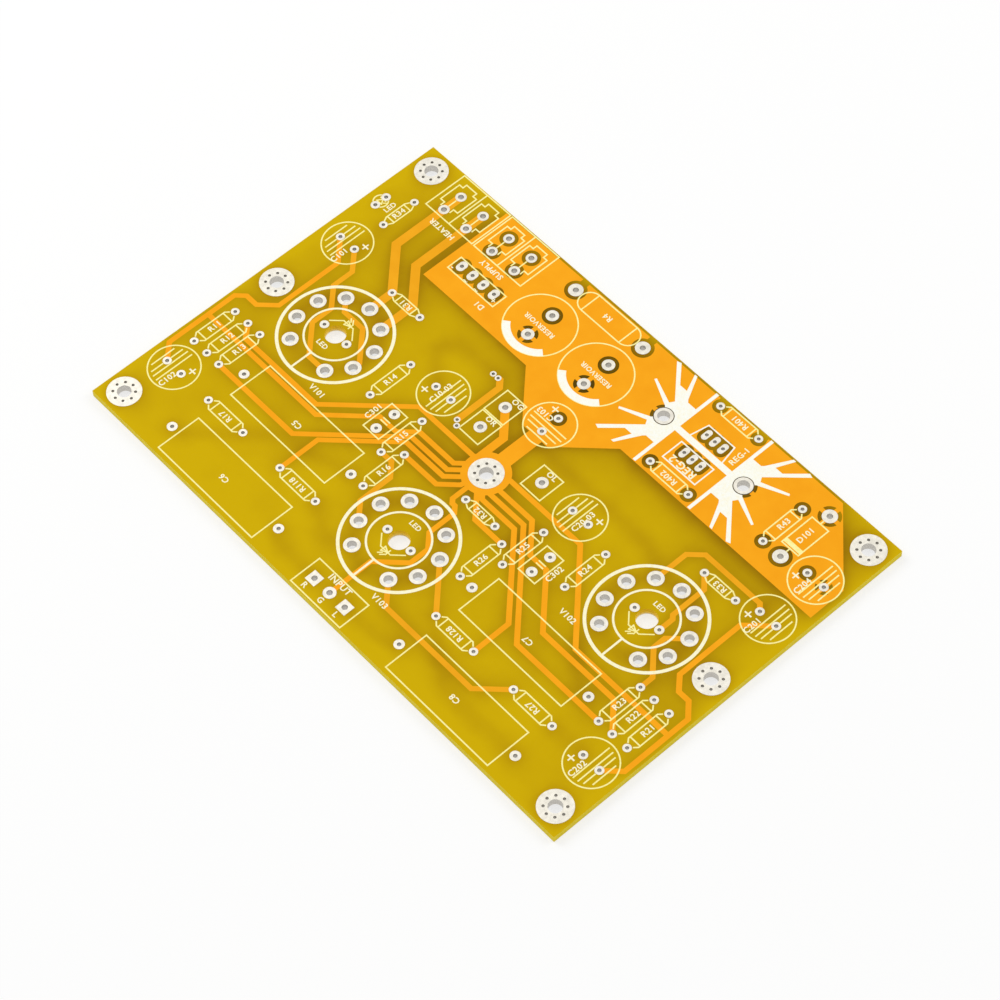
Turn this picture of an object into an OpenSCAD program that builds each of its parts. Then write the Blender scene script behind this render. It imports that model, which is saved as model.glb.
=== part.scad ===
// Bare printed circuit board of a stereo valve amplifier with its power supply.
// Copper lies flush in the top face, plated lands line the lead holes,
// and a printed legend marks each part.
// X runs along the long side, Y along the short side, Z up. The origin is under the middle of the board,
// on the plane that the lower lands rest on. Millimetres.

/* [Board] */
// length of the board along X
board_l = 152.4; // [140:0.1:170]
// width of the board along Y
board_w = 101.6; // [92:0.1:114]
// thickness of the laminate
board_t = 2; // [1.2:0.1:2.4]

/* [Copper] */
// depth of the copper in the top face
copper_t = 0.07; // [0.03:0.01:0.14]
// width of a signal or ground track
track_w = 1.25; // [0.8:0.05:1.6]
// width of a heater track
heater_w = 2.2; // [1.4:0.1:2.6]
// width of the track from the output ground land
output_w = 2; // [1.2:0.1:2.4]
// width of the track between the link vias
link_w = 1.6; // [1:0.1:1.8]
// diameter of the star where the ground tracks meet
star_d = 11.4; // [9.5:0.1:12.5]
// gap between the poured copper and a land that is not joined to it
clear_gap = 0.9; // [0.5:0.05:1]
// width of a spoke that joins a land to the poured copper
spoke_w = 1.1; // [0.6:0.05:1.4]

/* [Lands] */
// height of a tinned land over the face of the board
land_t = 0.06; // [0.03:0.01:0.12]
// wall of the plating in a lead hole
plate_t = 0.1; // [0.05:0.01:0.16]
// diameter of a resistor land
resistor_land_d = 2; // [1.7:0.05:2.3]
// diameter of a resistor lead hole
resistor_hole_d = 0.85; // [0.6:0.05:1.1]
// diameter of a capacitor land
can_land_d = 2.1; // [1.8:0.05:2.4]
// diameter of a capacitor lead hole
can_hole_d = 0.95; // [0.7:0.05:1.2]

/* [Mounting] */
// distance of a mounting hole from the edges of the board
mount_margin = 5.08; // [4.6:0.01:8]
// diameter of a mounting land
mount_land_d = 8.1; // [7:0.1:8.6]
// diameter of a mounting hole
mount_hole_d = 3.3; // [2.7:0.1:3.7]
// diameter of the circle of vias round a mounting hole
via_circle_d = 5.1; // [4.7:0.05:5.6]
// diameter of a via in a mounting land
via_hole_d = 0.7; // [0.3:0.05:0.75]

/* [Valves] */
// diameter of the pin circle of a valve socket
pin_circle_d = 20.5; // [19:0.1:22]
// diameter of a pin land
pin_land_d = 3.84; // [3.2:0.02:4.4]
// diameter of a pin hole
pin_hole_d = 2.2; // [1.6:0.05:2.6]
// diameter of the open hole in the middle of a socket
key_hole_d = 5; // [4:0.1:5.2]
// diameter of the outer circle of a socket
socket_d = 26.6; // [25.6:0.1:28]
// width of the line of the outer circle
socket_line = 0.78; // [0.5:0.02:1]
// diameter of the inner circle of a socket
spigot_d = 14.4; // [13:0.1:15]
// width of the line of the inner circle and of the key line
spigot_line = 0.5; // [0.3:0.02:0.7]
// spacing of the lamp leads in the middle of a socket
lamp_pitch = 7.62; // [7.6:0.01:9]
// diameter of a lamp land
lamp_land_d = 2.2; // [1.7:0.05:2.4]

/* [Resistors] */
// spacing of the leads of a long resistor
long_pitch = 12; // [11.2:0.1:13]
// length of the straight sides of a long resistor
long_l = 8.3; // [6.5:0.1:8.8]
// width of a long resistor
long_w = 3.05; // [2.4:0.05:3.6]
// spacing of the end bands of a long resistor
long_band = 7.4; // [5.8:0.1:7.9]
// spacing of the leads of a short resistor
short_pitch = 9.5; // [8.8:0.1:10.5]
// length of the straight sides of a short resistor
short_l = 5.6; // [4.6:0.1:6.2]
// width of a short resistor
short_w = 2.4; // [2:0.05:2.9]
// spacing of the end bands of a short resistor
short_band = 5; // [4:0.1:5.3]
// spacing of the leads of the power resistor
power_pitch = 22.1; // [20.5:0.1:23]
// spacing of the end bands of the power resistor
power_band = 12.4; // [11:0.1:13.2]
// width of the power resistor
power_w = 5.8; // [5:0.1:6.6]
// diameter of a power resistor land
power_land_d = 3.55; // [3:0.05:4]
// diameter of a power resistor lead hole
power_hole_d = 1.4; // [1:0.05:1.8]

/* [Capacitors] */
// diameter of a small electrolytic can
can_d = 12.1; // [11.2:0.1:12.4]
// spacing of the leads of a small can
can_pitch = 4.95; // [4.6:0.05:5.6]
// reach of the hatching on the negative side of a can, measured across
hatch_d = 10.4; // [9.4:0.1:10.8]
// diameter of a reservoir can
tank_d = 17.2; // [16:0.1:18]
// spacing of the pins of a reservoir can
tank_pitch = 7.5; // [6.5:0.1:8.2]
// width of the bold crescent on a reservoir can
crescent_w = 1.8; // [1.2:0.1:2.3]
// half of the angle that the crescent spans
crescent_half = 52; // [30:1:70]
// diameter of a reservoir land
tank_land_d = 3.05; // [2.6:0.05:3.5]
// length of a film capacitor
film_l = 32.2; // [29:0.1:33]
// width of a film capacitor
film_w = 11.5; // [9.5:0.1:12.5]
// spacing of the leads of a film capacitor
film_pitch = 36.7; // [36:0.1:38.5]
// diameter of a film capacitor land
film_land_d = 2.45; // [2:0.05:2.9]
// width of a disc capacitor's box
disc_l = 5.2; // [4.4:0.1:5.6]
// height of a disc capacitor's box
disc_w = 8.5; // [8:0.1:9]
// spacing of the leads of a disc capacitor
disc_pitch = 5.36; // [5:0.02:5.5]
// diameter of a disc capacitor land
disc_land_d = 2.55; // [2.2:0.05:2.8]

/* [Supply] */
// length of a two pole terminal block
terminal_l = 15.9; // [15.2:0.1:16.2]
// width of a terminal block
terminal_w = 12; // [11:0.1:12.4]
// spacing of the poles of a terminal block
pole_pitch = 7.62; // [7.2:0.01:7.8]
// spacing of the two lands of a pole
pole_rows = 5.26; // [4.6:0.02:5.6]
// diameter of a terminal land
pole_land_d = 2.65; // [2.3:0.05:2.9]
// spacing of the leads of the bridge rectifier
bridge_pitch = 3.63; // [3.3:0.01:3.9]
// length of the bridge rectifier
bridge_l = 15.3; // [14.6:0.1:16.2]
// width of the bridge rectifier
bridge_w = 4.15; // [3.8:0.05:4.6]
// spacing of the leads of a regulator
regulator_pitch = 2.54; // [2.4:0.01:2.7]
// length of a regulator
regulator_l = 10.15; // [9.6:0.05:10.8]
// width of the lower regulator
regulator_w = 5.8; // [5.2:0.1:6.3]
// spacing of the heat sink's tabs
sink_pitch = 25.2; // [24.4:0.1:26.2]
// height of the heat sink across its fins
sink_h = 25.6; // [24:0.1:26]
// width of the heat sink's web between the regulators
sink_web = 1.6; // [1:0.1:2]
// diameter of a heat sink land
sink_land_d = 4.4; // [3.8:0.1:4.8]
// diameter of a heat sink tab hole
sink_hole_d = 2.9; // [2.2:0.1:3.2]
// spacing of the diode's leads
diode_pitch = 15; // [14.4:0.1:15.8]
// length of the diode
diode_l = 9.2; // [8.2:0.1:9.8]
// width of the diode
diode_w = 5; // [4.4:0.1:5.6]
// width of the diode's bold band
diode_band = 1.15; // [0.7:0.05:1.5]
// spacing of the indicator lamp's leads
signal_pitch = 3.3; // [3:0.05:3.6]
// diameter of the indicator lamp
signal_d = 3.56; // [3:0.02:4]

/* [Connections] */
// spacing of the input lands
input_pitch = 5; // [4.6:0.05:5.4]
// length of the input box
input_l = 16.2; // [15:0.1:17.4]
// width of the input box
input_w = 8.2; // [7.2:0.1:8.6]
// size of an input or output land
wire_land_d = 3; // [2.6:0.05:3.4]
// length of an output box along X
output_l = 6.2; // [5.4:0.1:7]
// width of an output box along Y
output_h = 7.1; // [6.2:0.1:7.1]
// diameter of a link via's land
link_land_d = 1.5; // [1.2:0.05:1.55]
// diameter of a link via's hole
link_hole_d = 0.75; // [0.5:0.05:0.9]

/* [Legend] */
// height of the printed legend over the board
ink_t = 0.03; // [0.01:0.01:0.05]
// width of a legend line
ink_line = 0.33; // [0.2:0.01:0.4]
// gap between the legend and a land
ink_gap = 0.06; // [0.02:0.01:0.12]
// gap between the print of the heat sink and its land
web_gap = 0.22; // [0.1:0.01:0.4]

/* [Hidden] */
$fn = 64;
// angle of a part that stands along Y
quarter = 90;
half_l = board_l / 2;
half_w = board_w / 2;
top_z = land_t + board_t;
total_h = top_z + land_t;
// spacing of the corner holes
mount_l = board_l - 2 * mount_margin;
mount_w = board_w - 2 * mount_margin;
// overrun of every cut
over = board_t;
// lead holes of the larger parts
lamp_hole_d = resistor_hole_d;
film_hole_d = can_hole_d;
pole_hole_d = power_hole_d;
tank_hole_d = power_hole_d;
wire_hole_d = power_hole_d;
disc_hole_d = resistor_hole_d;
bridge_hole_d = can_hole_d;
// sizes of the long lands
bridge_land_w = can_land_d;
bridge_land_l = can_land_d + can_hole_d;
regulator_land_w = resistor_land_d - resistor_hole_d / 2;
regulator_land_l = bridge_land_l;
// spacing of the socket pins round their circle, with one place left out
pin_step = 360 / 10;
pins = [1 : 9];
// vias round a mounting hole
via_step = 360 / 8;
// steps in the round end of a long land
end_steps = 12;

// Places on the board are shares of its half length and half width.
// left, right and middle valve
valve_shares = [[-0.667, -0.02], [0.672, -0.02], [0.004, -0.524]];
// star where the ground tracks meet, which is also the middle mounting hole
star_share = [0.004, -0.025];
// long resistors that stand along Y, from left to right
upright_shares = [
  [-0.934, -0.384], [-0.875, -0.384], [-0.819, -0.385], [-0.432, -0.003],
  [-0.258, -0.166], [-0.205, -0.338], [0.213, -0.336], [0.265, -0.166],
  [0.439, -0.048], [0.82, -0.385], [0.875, -0.385], [0.934, -0.385]
];
// long resistors that lie along X, from left to right
level_shares = [[-0.662, -0.658], [-0.337, -0.658], [0.343, -0.659], [0.666, -0.659]];
// long resistors of the supply, whose lands stand clear of the poured copper
supply_level_shares = [[0.373, 0.957], [0.373, 0.535]];
supply_upright_shares = [[0.709, 0.722]];
// short resistors along X, and one along Y
short_level_shares = [[-0.605, 0.314], [0.093, -0.179], [0.735, 0.313]];
short_upright_shares = [[-0.878, 0.63]];
// small cans, each with the angle of its positive lead
can_shares = [
  [-0.9, 0.35], [-0.901, -0.657], [-0.29, 0.119], [0.005, 0.347],
  [0.299, 0.118], [0.902, 0.35], [0.901, -0.657], [0.902, 0.63]
];
can_turns = [0, 0, 180, 90, 0, 180, 180, 180];
// reservoir cans
tank_shares = [[-0.279, 0.677], [-0.035, 0.676]];
// film capacitors
film_shares = [[-0.5, -0.455], [-0.5, -0.863], [0.504, -0.455], [0.504, -0.863]];
// disc capacitors
disc_shares = [[-0.331, -0.165], [0.339, -0.165]];
// power resistor
power_share = [-0.156, 0.923];
// heater terminal block and supply terminal block
terminal_shares = [[-0.746, 0.875], [-0.529, 0.875]];
// bridge rectifier
bridge_share = [-0.527, 0.64];
// upper and lower regulator, and the heat sink between them
regulator_shares = [[0.373, 0.808], [0.373, 0.673]];
sink_share = [0.372, 0.74];
// diode of the supply
diode_share = [0.779, 0.752];
// indicator lamp
signal_share = [-0.952, 0.617];
// input lands
input_share = [0.003, -0.912];
// output ground, left output and right output
output_shares = [[-0.129, 0.266], [-0.128, 0.118], [0.137, 0.118]];
// link vias, in two pairs
link_shares = [[-0.242, 0.348], [-0.221, 0.348], [-0.193, 0.07], [-0.178, 0.047]];
// outline of the poured copper, with the funnel and the stem that run down to the star
pour_shares = [
  [-0.656, 0.484], [-0.656, 0.988], [0.773, 0.988], [0.98, 0.679], [0.98, 0.484],
  [0.204, 0.484], [0.055, 0.26], [0.032, 0.26], [0.032, -0.025],
  [-0.022, -0.025], [-0.022, 0.26], [-0.052, 0.26], [-0.2, 0.484]
];

// Outlines drawn as shares of a size of the part they belong to.
// half of one side of the heat sink, seen from its tab, as shares of half its height
fin_shares = [
  [0.343, 1], [0.277, 1], [0.277, 0.501], [0.083, 0.501], [0.04, 0.549], [-0.202, 1], [-0.263, 1],
  [-0.109, 0.657], [-0.277, 0.657], [-0.598, 1], [-0.683, 0.97], [-0.089, 0.352], [-0.143, 0.263],
  [-0.657, 0.461], [-0.679, 0.42], [-0.139, 0.166]
];
// one side of a terminal's clamp, as shares of half the block's width
clamp_shares = [
  [0.263, -0.631], [0.263, -0.419], [0.487, -0.419], [0.487, 0.555], [0.288, 0.555], [0.288, 0.746]
];
// drop of a terminal's lands below the middle of the block, as a share of half its width
pole_drop_share = 0.243;
// neck of a resistor next to its lands, as shares of its lead spacing and of its width
neck_shares = [0.84, 0.5];
// hatch lines of a can, as shares of half the hatch's reach
hatch_shares = [0, 0.25, 0.485, 0.77];
// shift of the bridge's box from its leads, as shares of its length and width
bridge_shift_shares = [0.01, -0.11];
// upper regulator, as shares of half its length and half its width
tab_shares = [[-1, -1], [-0.8, 0.73], [0.8, 0.73], [1, -1]];
// drop of the lower regulator's box below its leads, as a share of its width
regulator_drop_share = 0.22;
// place of the diode's band, as a share of half its length
band_share = 0.78;
// length of a disc capacitor's plates as a share of its box
plate_share = 0.43;
// opening over the lands at the top edge, as a share of the gap's circle
notch_share = 0.6;

// a place from its shares
function at(s) = [s[0] * half_l, s[1] * half_w];
function route(shares) = [for (s = shares) at(s)];
// an end of a part with two leads
function lead(s, turn, pitch, e) = at(s) + e * pitch / 2 * [cos(turn), sin(turn)];
function upright_end(i, e) = lead(upright_shares[i], quarter, long_pitch, e);
function level_end(i, e) = lead(level_shares[i], 0, long_pitch, e);
function can_lead(i, e) = lead(can_shares[i], can_turns[i], can_pitch, e);
// pin k of valve v, counted anticlockwise from the place left out
function pin_turn(k) = -quarter + k * pin_step;
function pin_at(v, k) = at(valve_shares[v]) + pin_circle_d / 2 * [cos(pin_turn(k)), sin(pin_turn(k))];
// a land of terminal block b, pole p and row r
function pole_drop() = pole_drop_share * terminal_w / 2;
function pole_at(b, p, r) = at(terminal_shares[b]) + [p * pole_pitch / 2, r * pole_rows / 2 - pole_drop()];

// offset of corner i of a path p to its left by h
function unit(v) = v / norm(v);
function left_of(v) = [-v[1], v[0]];
function heading(p, i) = unit(p[i + 1] - p[i]);
function mitre(a, b) = unit(a + b) / (unit(a + b) * a);
function corner(p, i, h) =
  p[i] + h * mitre(left_of(heading(p, max(i - 1, 0))), left_of(heading(p, min(i, len(p) - 2))));

// Plane shapes.
// a band of even width along a path, with mitred corners
module ribbon(p, w) {
  left = [for (i = [0 : len(p) - 1]) corner(p, i, w / 2)];
  right = [for (i = [len(p) - 1 : -1 : 0]) corner(p, i, -w / 2)];
  polygon(concat(left, right));
}

// a circle drawn as a line
module loop(d, w) {
  difference() {
    circle(d = d + w);
    circle(d = d - w);
  }
}

// a box drawn as a line
module box_line(l, w, line) {
  difference() {
    square([l + line, w + line], center = true);
    square([l - line, w - line], center = true);
  }
}

// a shape with straight sides along Y and round ends
module slot(w, l) {
  reach = (l - w) / 2;
  turn = 2 * quarter / end_steps;
  up = [for (i = [0 : end_steps]) w / 2 * [cos(i * turn), sin(i * turn)] + [0, reach]];
  down = [for (i = [0 : end_steps]) -w / 2 * [cos(i * turn), sin(i * turn)] - [0, reach]];
  polygon(concat(up, down));
}

// what lies round a land that is not joined to the poured copper
module clear_slot(w, l) slot(w + 2 * clear_gap, l + 2 * clear_gap);

// the gaps round a land that four spokes join to the poured copper
module relief(d) {
  difference() {
    circle(d = d + 2 * clear_gap);
    square([spoke_w, d + spoke_w + 2 * clear_gap], center = true);
    square([d + spoke_w + 2 * clear_gap, spoke_w], center = true);
  }
}

// a shape that lies on the top face with the height of the ink
module ink() {
  translate([0, 0, top_z]) linear_extrude(ink_t) children();
}

// where the ink is left off
module bare() {
  translate([0, 0, top_z - over]) linear_extrude(2 * over) children();
}

// moves a shape to the floor of the copper in the top face
module inlay() {
  translate([0, 0, top_z - copper_t]) children();
}

// Places of the footprints.
module pair(pitch) {
  for (e = [-1, 1]) translate([e * pitch / 2, 0]) children();
}

module each_at(shares, turn = 0) {
  for (s = shares) translate(at(s)) rotate(turn) children();
}

module at_long_resistors() {
  each_at(level_shares) children();
  each_at(supply_level_shares) children();
  each_at(upright_shares, quarter) children();
  each_at(supply_upright_shares, quarter) children();
}

module at_short_resistors() {
  each_at(short_level_shares) children();
  each_at(short_upright_shares, quarter) children();
}

module at_resistor_leads() {
  at_long_resistors() pair(long_pitch) children();
  at_short_resistors() pair(short_pitch) children();
}

module at_cans() {
  for (i = [0 : len(can_shares) - 1]) translate(at(can_shares[i])) rotate(can_turns[i]) children();
}

module at_tank_pins() {
  each_at(tank_shares, quarter) pair(tank_pitch) children();
}

module at_poles(b) {
  for (p = [-1, 1]) for (r = [-1, 1]) translate(pole_at(b, p, r)) children();
}

module at_bridge_leads() {
  for (i = [0 : 3]) translate(at(bridge_share) + [(i - 3 / 2) * bridge_pitch, 0]) children();
}

module at_regulator_leads() {
  each_at(regulator_shares) for (i = [-1 : 1]) translate([i * regulator_pitch, 0]) children();
}

module at_pins() {
  each_at(valve_shares) for (k = pins) rotate(pin_turn(k)) translate([pin_circle_d / 2, 0]) children();
}

module at_mounts() {
  for (x = [-1, 1]) for (y = [-1, 1]) translate([x * mount_l / 2, y * mount_w / 2]) children();
  for (x = [-1, 1]) translate([x * mount_l / 2, at(star_share)[1]]) children();
  each_at([star_share]) children();
}

module at_vias() {
  for (i = [0 : 7]) rotate(i * via_step) translate([via_circle_d / 2, 0]) children();
}

module at_inputs(list) {
  for (i = list) translate(at(input_share) + [i * input_pitch, 0]) children();
}

// Lands.
// a plated hole with a round land on each face
module eyelet(land_d, hole_d) {
  hole_r = hole_d / 2;
  wall_r = hole_r + plate_t;
  land_r = land_d / 2;
  rotate_extrude()
    polygon([
      [hole_r, 0], [land_r, 0], [land_r, land_t], [wall_r, land_t],
      [wall_r, top_z], [land_r, top_z], [land_r, total_h], [hole_r, total_h]
    ]);
}

// a plated hole with a land of another shape on each face, given as children
module shaped_eyelet(hole_d) {
  difference() {
    union() {
      linear_extrude(land_t) children();
      translate([0, 0, top_z]) linear_extrude(land_t) children();
      linear_extrude(total_h) circle(d = hole_d + 2 * plate_t);
    }
    translate([0, 0, -over]) linear_extrude(total_h + 2 * over) circle(d = hole_d);
  }
}

// the hole in the laminate that a plated hole fills
module drill(hole_d) circle(d = hole_d + 2 * plate_t);

// the lead holes, seen from above
module drills() {
  at_resistor_leads() drill(resistor_hole_d);
  at_cans() pair(can_pitch) drill(can_hole_d);
  at_tank_pins() drill(tank_hole_d);
  each_at(film_shares) pair(film_pitch) drill(film_hole_d);
  each_at(disc_shares, quarter) pair(disc_pitch) drill(disc_hole_d);
  each_at([power_share]) pair(power_pitch) drill(power_hole_d);
  each_at([diode_share], quarter) pair(diode_pitch) drill(power_hole_d);
  each_at([signal_share], quarter) pair(signal_pitch) drill(can_hole_d);
  each_at([sink_share]) pair(sink_pitch) drill(sink_hole_d);
  for (b = [0, 1]) at_poles(b) drill(pole_hole_d);
  at_bridge_leads() drill(bridge_hole_d);
  at_regulator_leads() drill(resistor_hole_d);
  at_pins() drill(pin_hole_d);
  each_at(valve_shares) pair(lamp_pitch) drill(lamp_hole_d);
  at_mounts() {
    drill(mount_hole_d);
    at_vias() drill(via_hole_d);
  }
  at_inputs([-1 : 1]) drill(wire_hole_d);
  each_at(output_shares) drill(wire_hole_d);
  each_at(link_shares) drill(link_hole_d);
}

// the lead holes as solids that run past both faces
module bores() {
  translate([0, 0, -over]) linear_extrude(total_h + 2 * over) drills();
}

// Copper.
// gaps in the poured copper round the lands that it does not join
module pour_gaps() {
  each_at(supply_level_shares) pair(long_pitch) circle(d = resistor_land_d + 2 * clear_gap);
  each_at(supply_upright_shares, quarter) pair(long_pitch) circle(d = resistor_land_d + 2 * clear_gap);
  at_poles(1) circle(d = pole_land_d + 2 * clear_gap);
  each_at([power_share]) pair(power_pitch) {
    circle(d = power_land_d + 2 * clear_gap);
    notch(power_share, notch_share * power_land_d);
  }
  each_at([supply_level_shares[0]]) pair(long_pitch)
    notch(supply_level_shares[0], resistor_land_d + 2 * clear_gap * notch_share);
  for (s = tank_shares) translate(at(s) + [0, tank_pitch / 2]) circle(d = tank_land_d + 2 * clear_gap);
  for (s = tank_shares) translate(at(s) - [0, tank_pitch / 2]) relief(tank_land_d);
  at_bridge_leads() clear_slot(bridge_land_w, bridge_land_l);
  at_regulator_leads() clear_slot(regulator_land_w, regulator_land_l);
  each_at([sink_share]) pair(sink_pitch) relief(sink_land_d);
  translate(lead(diode_share, quarter, diode_pitch, 1)) relief(power_land_d);
  translate(lead(diode_share, quarter, diode_pitch, -1)) circle(d = power_land_d + 2 * clear_gap);
  translate(can_lead(3, 1)) circle(d = can_land_d + 2 * clear_gap);
  translate(can_lead(7, 1)) circle(d = can_land_d + 2 * clear_gap);
  translate(can_lead(7, -1)) relief(can_land_d);
}

// opening from a land near the top edge to the edge of the poured copper
module notch(s, w) {
  translate([-w / 2, 0]) square([w, half_w * (1 - s[1])]);
}

// Routes of the tracks. The ends lie on the leads that they join.
ground_routes = [
  // down the left edge
  concat([can_lead(0, -1)], route([[-0.863, 0.246], [-0.863, -0.1], [-0.911, -0.172], [-0.956, -0.172],
    [-0.982, -0.21], [-0.982, -0.586]]), [can_lead(1, -1)]),
  // down the right edge
  concat([can_lead(5, -1)], route([[0.864, 0.245], [0.864, -0.105], [0.902, -0.165], [0.941, -0.165],
    [0.982, -0.227], [0.982, -0.585]]), [can_lead(6, -1)]),
  // from the star to the left channel
  concat(route([[0.004, -0.005], [-0.302, -0.005], [-0.515, -0.327], [-0.837, -0.327]]),
    [upright_end(1, 1)]),
  route([[-0.04, -0.021], [-0.087, -0.092], [-0.235, -0.092], [-0.283, -0.166], [-0.355, -0.166],
    [-0.487, -0.363], [-0.982, -0.363]]),
  concat(route([[-0.032, -0.058], [-0.083, -0.135], [-0.238, -0.135], [-0.483, -0.503]]),
    [upright_end(2, -1)]),
  concat(route([[-0.02, -0.09], [-0.073, -0.17], [-0.235, -0.17], [-0.416, -0.443]]), [level_end(1, -1)]),
  concat(route([[-0.012, -0.1], [-0.017, -0.145], [-0.067, -0.219]]), [upright_end(5, 1)]),
  // from the star to the right channel
  route([[0.004, 0.026], [0.365, 0.026], [0.609, -0.34], [0.982, -0.34]]),
  concat(route([[0.004, -0.042], [0.212, -0.042], [0.295, -0.166], [0.362, -0.166], [0.508, -0.386],
    [0.797, -0.386]]), [upright_end(10, -1)]),
  concat(route([[0.004, -0.084], [0.207, -0.084], [0.486, -0.503]]), [upright_end(9, -1)]),
  concat(route([[0.027, -0.075], [0.062, -0.127], [0.199, -0.127], [0.421, -0.461]]), [level_end(2, 1)]),
  concat(route([[0.02, -0.098], [0.1, -0.218]]), [upright_end(6, 1)]),
  // from the star to the input ground
  concat(route([[0.002, -0.1], [0.002, -0.216], [0.014, -0.234], [0.025, -0.234], [0.043, -0.261],
    [0.043, -0.404], [0.083, -0.464], [0.083, -0.564], [0.003, -0.683]]), [at(input_share)])
];
output_routes = [concat([at(output_shares[0])], route([[-0.053, 0.152], [-0.053, 0.01]]))];
heater_routes = [
  concat([pole_at(0, -1, 1)], route([[-0.796, 0.507], [-0.667, 0.314]]), [pin_at(0, 5)]),
  concat([pole_at(0, 1, 1)], route([[-0.695, 0.492], [-0.589, 0.333]]), [pin_at(0, 4)])
];
signal_routes = [
  // left valve
  concat([can_lead(0, 1)], route([[-0.808, 0.26], [-0.808, 0.15], [-0.747, 0.058], [-0.747, -0.053],
    [-0.659, -0.184]]), [pin_at(0, 1)]),
  concat([pin_at(0, 6)], route([[-0.711, 0.089], [-0.628, 0.089], [-0.539, -0.045]]), [pin_at(0, 2)]),
  // right valve
  concat([pin_at(1, 6)], route([[0.593, 0.32], [0.632, 0.379], [0.85, 0.379]]), [can_lead(5, 1)]),
  concat([lead(short_level_shares[2], 0, short_pitch, -1)], route([[0.712, 0.254], [0.712, 0.073],
    [0.722, 0.057]]), [lead(valve_shares[1], 0, lamp_pitch, 1)]),
  concat([pin_at(1, 3)], route([[0.752, -0.03], [0.752, -0.095], [0.82, -0.198]]), [upright_end(9, 1)]),
  // middle valve
  concat([upright_end(4, -1)], route([[-0.213, -0.283], [-0.173, -0.343], [-0.173, -0.513]]),
    [pin_at(2, 8)]),
  [pin_at(2, 3), level_end(2, -1)],
  concat([pin_at(2, 1)], route([[0.147, -0.784], [0.505, -0.784]]), [level_end(3, -1)])
];
link_routes = [
  concat([at(link_shares[1])], route([[-0.213, 0.348], [-0.193, 0.318]]), [at(link_shares[2])])
];

// tracks of one width, as deep as h
module tracks(routes, w, h) {
  for (p = routes) linear_extrude(h) ribbon(p, w);
}

// copper under lands of one diameter where tracks end, as deep as h
module pads(places, d, h) {
  for (p = places) translate(p) cylinder(d = d, h = h);
}

module ground_plan(h) {
  linear_extrude(h) difference() {
    polygon(route(pour_shares));
    pour_gaps();
  }
  translate(at(star_share)) cylinder(d = star_d, h = h);
  tracks(ground_routes, track_w, h);
  tracks(output_routes, output_w, h);
  pads([for (i = [0, 1, 5, 6]) can_lead(i, -1)], can_land_d, h);
  pads([for (i = [1, 5, 6]) upright_end(i, 1)], resistor_land_d, h);
  pads([for (i = [2, 9, 10]) upright_end(i, -1)], resistor_land_d, h);
  pads([level_end(1, -1), level_end(2, 1)], resistor_land_d, h);
  pads([at(input_share), at(output_shares[0])], wire_land_d, h);
}

module heater_plan(h) {
  tracks(heater_routes, heater_w, h);
  pads([for (p = [-1, 1]) for (r = [-1, 1]) pole_at(0, p, r)], pole_land_d, h);
  pads([pin_at(0, 4), pin_at(0, 5)], pin_land_d, h);
}

module signal_plan(h) {
  tracks(signal_routes, track_w, h);
  tracks(link_routes, link_w, h);
  pads([for (k = [1, 2, 6]) pin_at(0, k)], pin_land_d, h);
  pads([for (k = [3, 6]) pin_at(1, k)], pin_land_d, h);
  pads([for (k = [1, 3, 8]) pin_at(2, k)], pin_land_d, h);
  pads([can_lead(0, 1), can_lead(5, 1)], can_land_d, h);
  pads([upright_end(9, 1), upright_end(4, -1), level_end(2, -1), level_end(3, -1)], resistor_land_d, h);
  pads([lead(short_level_shares[2], 0, short_pitch, -1)], resistor_land_d, h);
  pads([lead(valve_shares[1], 0, lamp_pitch, 1)], lamp_land_d, h);
  pads([at(link_shares[1]), at(link_shares[2])], link_land_d, h);
}

// Legend shapes.
module resistor_mark(pitch, l, w, band) {
  neck_l = neck_shares[0] * pitch;
  neck_w = neck_shares[1] * w;
  for (e = [-1, 1]) {
    ink() ribbon([[-neck_l / 2, e * neck_w / 2], [-l / 2, e * w / 2], [l / 2, e * w / 2],
      [neck_l / 2, e * neck_w / 2]], ink_line);
    ink() translate([e * band / 2, 0]) square([ink_line, w], center = true);
  }
}

module can_mark() {
  ink() loop(can_d, ink_line);
  ink() difference() {
    for (s = hatch_shares)
      translate([-s * hatch_d / 2, 0]) square([ink_line, hatch_d * sqrt(1 - s * s)], center = true);
    pair(can_pitch) circle(d = can_land_d + 2 * ink_gap);
  }
}

module tank_mark() {
  reach = tank_d / cos(crescent_half) * [sin(crescent_half), -cos(crescent_half)];
  ink() loop(tank_d, ink_line);
  ink() intersection() {
    loop(tank_d - crescent_w, crescent_w + ink_line / 2);
    polygon([[0, 0], [-reach[0], reach[1]], reach]);
  }
}

module sink_mark() {
  half = sink_h / 2;
  upper = [for (s = fin_shares) s * half];
  lower = [for (i = [len(fin_shares) - 1 : -1 : 0]) [fin_shares[i][0], -fin_shares[i][1]] * half];
  difference() {
    union() {
      for (e = [0, 1])
        ink() mirror([e, 0]) translate([-sink_pitch / 2, 0]) polygon(concat(upper, [[0, 0]], lower));
      ink() square([sink_pitch - fin_shares[1][0] * sink_h, sink_web], center = true);
    }
    bare() pair(sink_pitch) circle(d = sink_land_d + 2 * web_gap);
  }
}

module regulator_mark() {
  ink() translate(at(regulator_shares[0]))
    ribbon([for (s = tab_shares) [s[0] * regulator_l / 2, s[1] * regulator_w / 2]], ink_line);
  ink() difference() {
    translate(at(regulator_shares[1]) - [0, regulator_drop_share * regulator_w])
      box_line(regulator_l, regulator_w, ink_line);
    each_at([regulator_shares[1]]) for (i = [-1 : 1]) translate([i * regulator_pitch, 0])
      slot(regulator_land_w + 2 * ink_gap, regulator_land_l + 2 * ink_gap);
  }
}

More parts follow.
